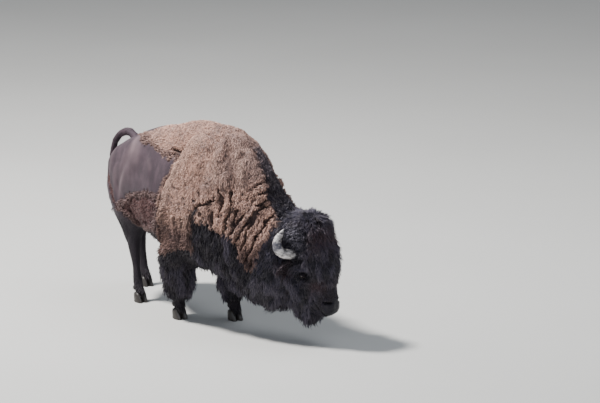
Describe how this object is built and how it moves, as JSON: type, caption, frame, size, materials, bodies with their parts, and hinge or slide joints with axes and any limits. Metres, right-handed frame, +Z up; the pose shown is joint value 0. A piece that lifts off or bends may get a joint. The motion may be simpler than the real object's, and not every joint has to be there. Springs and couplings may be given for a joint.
{
  "type": "american bison figure",
  "caption": "Life-size still figure of a grazing bison bull, walking with its head low and turned left, in a half-shed woolly coat.",
  "frame": {"origin": "on the floor, under the middle of the model's box", "axes": "+X along the trunk towards the head, +Y to the animal's left, +Z up; the hooves stand on Z = 0"},
  "size_m": [3.008, 1.0278, 1.7794],
  "materials": {
    "wool": "matted tan-brown winter wool",
    "dark_hair": "long black-brown hair",
    "short_hair": "short grey-brown summer coat with a soft sheen",
    "horn": "weathered grey-white horn with dark scars",
    "hoof": "dark worn hoof",
    "eye": "wet dark brown eye"
  },
  "bodies": {
    "root": {"head": "dark_hair", "neck": "dark_hair", "trunk": "wool", "hindquarters": "short_hair", "tail_root": "short_hair", "tail_switch": "dark_hair", "foreleg_right_upper": "dark_hair", "foreleg_left_upper": "dark_hair", "foreleg_right_lower": "dark_hair", "foreleg_left_lower": "dark_hair", "hindleg_right_upper": "short_hair", "hindleg_left_upper": "short_hair", "hindleg_right_lower": "short_hair", "hindleg_left_lower": "short_hair", "horn_right": "horn", "eye_right": "eye", "ear_right": "dark_hair", "horn_left": "horn", "eye_left": "eye", "ear_left": "dark_hair", "hoof_fore_right_claw_right": "hoof", "dewclaw_fore_right_right": "hoof", "hoof_fore_right_claw_left": "hoof", "dewclaw_fore_right_left": "hoof", "hoof_fore_left_claw_right": "hoof", "dewclaw_fore_left_right": "hoof", "hoof_fore_left_claw_left": "hoof", "dewclaw_fore_left_left": "hoof", "hoof_hind_right_claw_right": "hoof", "dewclaw_hind_right_right": "hoof", "hoof_hind_right_claw_left": "hoof", "dewclaw_hind_right_left": "hoof", "hoof_hind_left_claw_right": "hoof", "dewclaw_hind_left_right": "hoof", "hoof_hind_left_claw_left": "hoof", "dewclaw_hind_left_left": "hoof"}
  },
  "joints": []
}
